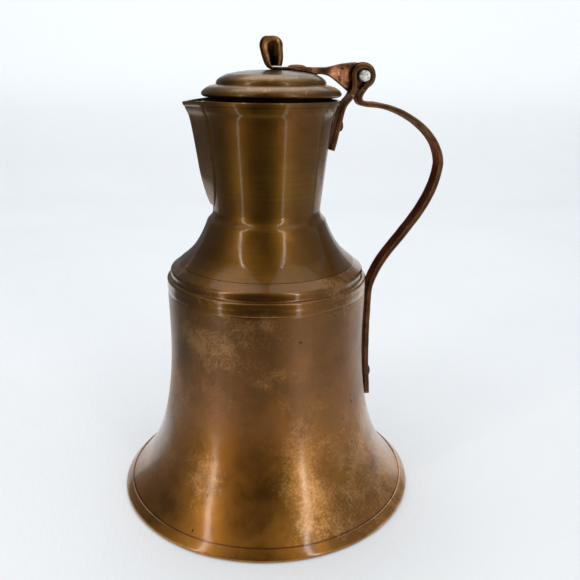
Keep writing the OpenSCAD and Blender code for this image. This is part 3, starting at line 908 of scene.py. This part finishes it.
def camera():
    """Camera in front of the jug, a little above the lid and turned towards the handle."""
    data = bpy.data.cameras.new("camera")
    data.lens = 41.59
    data.sensor_width = 36
    data.clip_start = 0.01
    made = bpy.data.objects.new("camera", data)
    bpy.context.scene.collection.objects.link(made)
    turn = (Matrix.Rotation(-CAMERA_YAW, 4, "Z") @ Matrix.Rotation(math.pi / 2 - CAMERA_PITCH, 4, "X")
            @ Matrix.Rotation(CAMERA_ROLL, 4, "Z"))
    back = turn.to_3x3() @ Vector((0, 0, 1))
    made.matrix_world = Matrix.Translation(CAMERA_AIM + CAMERA_DISTANCE * back) @ turn
    bpy.context.scene.camera = made


def around(azimuth, distance, height):
    """A point about the jug: azimuth 0 is the camera's side, positive to the camera's right."""
    a = -math.pi / 2 - math.radians(6) + math.radians(azimuth)
    return Vector((distance * math.cos(a), distance * math.sin(a), height))


def area_light(name, place, size, power, colour=(1, 1, 1), aim=(0, 0, 0.1)):
    """A rectangular light at place, turned towards aim."""
    data = bpy.data.lights.new(name, "AREA")
    data.shape = "RECTANGLE"
    data.size, data.size_y = size
    data.energy = power
    data.color = colour
    made = bpy.data.objects.new(name, data)
    made.matrix_world = Matrix.Translation(place) @ (
        (place - Vector(aim)).to_track_quat("Z", "Y").to_matrix().to_4x4())
    made.visible_camera = False
    bpy.context.scene.collection.objects.link(made)
    return made


def floor_strip(name, azimuth, near, far, width, power, colour):
    """A narrow light lying on the floor, pointing up and running away from the jug."""
    middle = around(azimuth, (near + far) / 2, 0.002)
    light = area_light(name, middle, (width, far - near), power, colour)
    outward = Vector((middle.x, middle.y, 0)).normalized()
    turn = Matrix((Vector((-outward.y, outward.x, 0)), -outward, Vector((0, 0, -1)))).transposed()
    light.matrix_world = Matrix.Translation(middle) @ turn.to_4x4()


def reflector(name, points, faces, shade):
    """A dull surface that shows in reflections only."""
    s = Shader(name, Metallic=0.0, Roughness=0.9)
    colour = s.mix(s.noise(6, 2.0, 0.5), shade, tuple(0.7 * c for c in shade))
    s.join(colour, s.surface.inputs["Base Color"])
    mesh = bpy.data.meshes.new(name)
    mesh.from_pydata(points, [], faces)
    mesh.materials.append(s.material)
    made = bpy.data.objects.new(name, mesh)
    made.visible_camera = False
    made.visible_shadow = False
    made.visible_diffuse = False
    bpy.context.scene.collection.objects.link(made)


def curved_card(name, first, last, radius, top, shade):
    """An upright reflector bent about the jug, between two azimuths."""
    angles = np.linspace(first, last, 13)
    points = [tuple(around(a, radius, z)) for z in (0.001, top) for a in angles]
    reflector(name, points, grid_faces(2, len(angles)), shade)


def flat_card(name, first, last, near, far, level, shade):
    """A level reflector between two azimuths and two distances from the jug."""
    angles = np.linspace(first, last, 13)
    points = [tuple(around(a, r, level)) for r in (near, far) for a in angles]
    reflector(name, points, grid_faces(2, len(angles)), shade)


def tent_sides():
    """What the jug mirrors: a dark open front, a dim left side and a paler right side."""
    dark, dim, pale = (0.02, 0.018, 0.016), (0.08, 0.08, 0.08), (0.32, 0.31, 0.3)
    left, right, low = FRONT_LEFT - 5, FRONT_RIGHT + 5, 0.001
    dusk = (0.16, 0.16, 0.16)
    curved_card("dark_front", FRONT_LEFT, FRONT_RIGHT, 0.55, 1.25, dark)
    flat_card("dark_floor", FRONT_LEFT, FRONT_RIGHT, 0.13, 0.55, low, (0.03, 0.027, 0.025))
    flat_card("dark_ceiling", FRONT_LEFT, FRONT_RIGHT, 0.03, 0.55, 1.25, dark)
    curved_card("dim_left", left - 85, left, 0.6, 0.9, dim)
    flat_card("dim_left_floor", left - 70, left, 0.13, 0.6, low, dim)
    curved_card("pale_right", right, right + 70, 0.6, 0.9, pale)
    flat_card("pale_right_floor", right, right + 70, 0.13, 0.6, low, pale)
    curved_card("dusk_right", right + 71, right + 110, 0.6, 0.9, dusk)
    curved_card("dusk_left", left - 112, left - 86, 0.6, 0.9, dusk)


def floor():
    """A wide pale floor that sweeps up into a wall behind the jug."""
    depth, half, radius, wall = 0.8, 2.0, 0.12, 1.4
    level = -0.0002
    profile = [(-2.0, level), (-1.0, level), (0.0, level), (depth - radius, level)]
    profile += [(depth - radius + radius * math.sin(a), level + radius * (1 - math.cos(a)))
                for a in np.radians(np.linspace(8, 90, 12))]
    profile += [(depth, wall)]
    turn = Matrix.Rotation(-CAMERA_YAW, 3, "Z")
    points = [tuple(turn @ Vector((x, y, z))) for y, z in profile for x in (-half, half)]
    mesh = bpy.data.meshes.new("floor")
    mesh.from_pydata(points, [], grid_faces(len(profile), 2))
    mesh.materials.append(floor_cloth())
    for polygon in mesh.polygons:
        polygon.use_smooth = True
    made = bpy.data.objects.new("floor", mesh)
    bpy.context.scene.collection.objects.link(made)


def studio():
    """White surroundings, a soft light above, and narrow lights at both sides of the front."""
    world = bpy.data.worlds.new("studio")
    world.use_nodes = True
    background = world.node_tree.nodes["Background"]
    background.inputs["Color"].default_value = (0.94, 0.97, 1.0, 1.0)
    background.inputs["Strength"].default_value = 1.0
    scene = bpy.context.scene
    scene.world = world
    scene.view_settings.view_transform = "Standard"
    scene.view_settings.look = "None"
    warm = (1.0, 0.96, 0.9)
    for side, azimuth, power in (("left", FRONT_LEFT - 2, 1.2), ("right", FRONT_RIGHT + 2, 1.2)):
        area_light("strip_" + side, around(azimuth, 0.56, 0.6), (0.03, 1.2), power, warm, (0, 0, 0.6))
        floor_strip("floor_strip_" + side, azimuth, 0.12, 0.56, 0.012, 0.035, warm)
    area_light("top_softbox", Vector((0.0, 0.5, 1.2)), (0.8, 0.6), 2.6)
    tent_sides()


camera()
floor()
studio()
bell()
foot()
neck()
rim_hem()
beak()
lid()
collar()
handle()
strap()
rivets()
pin()
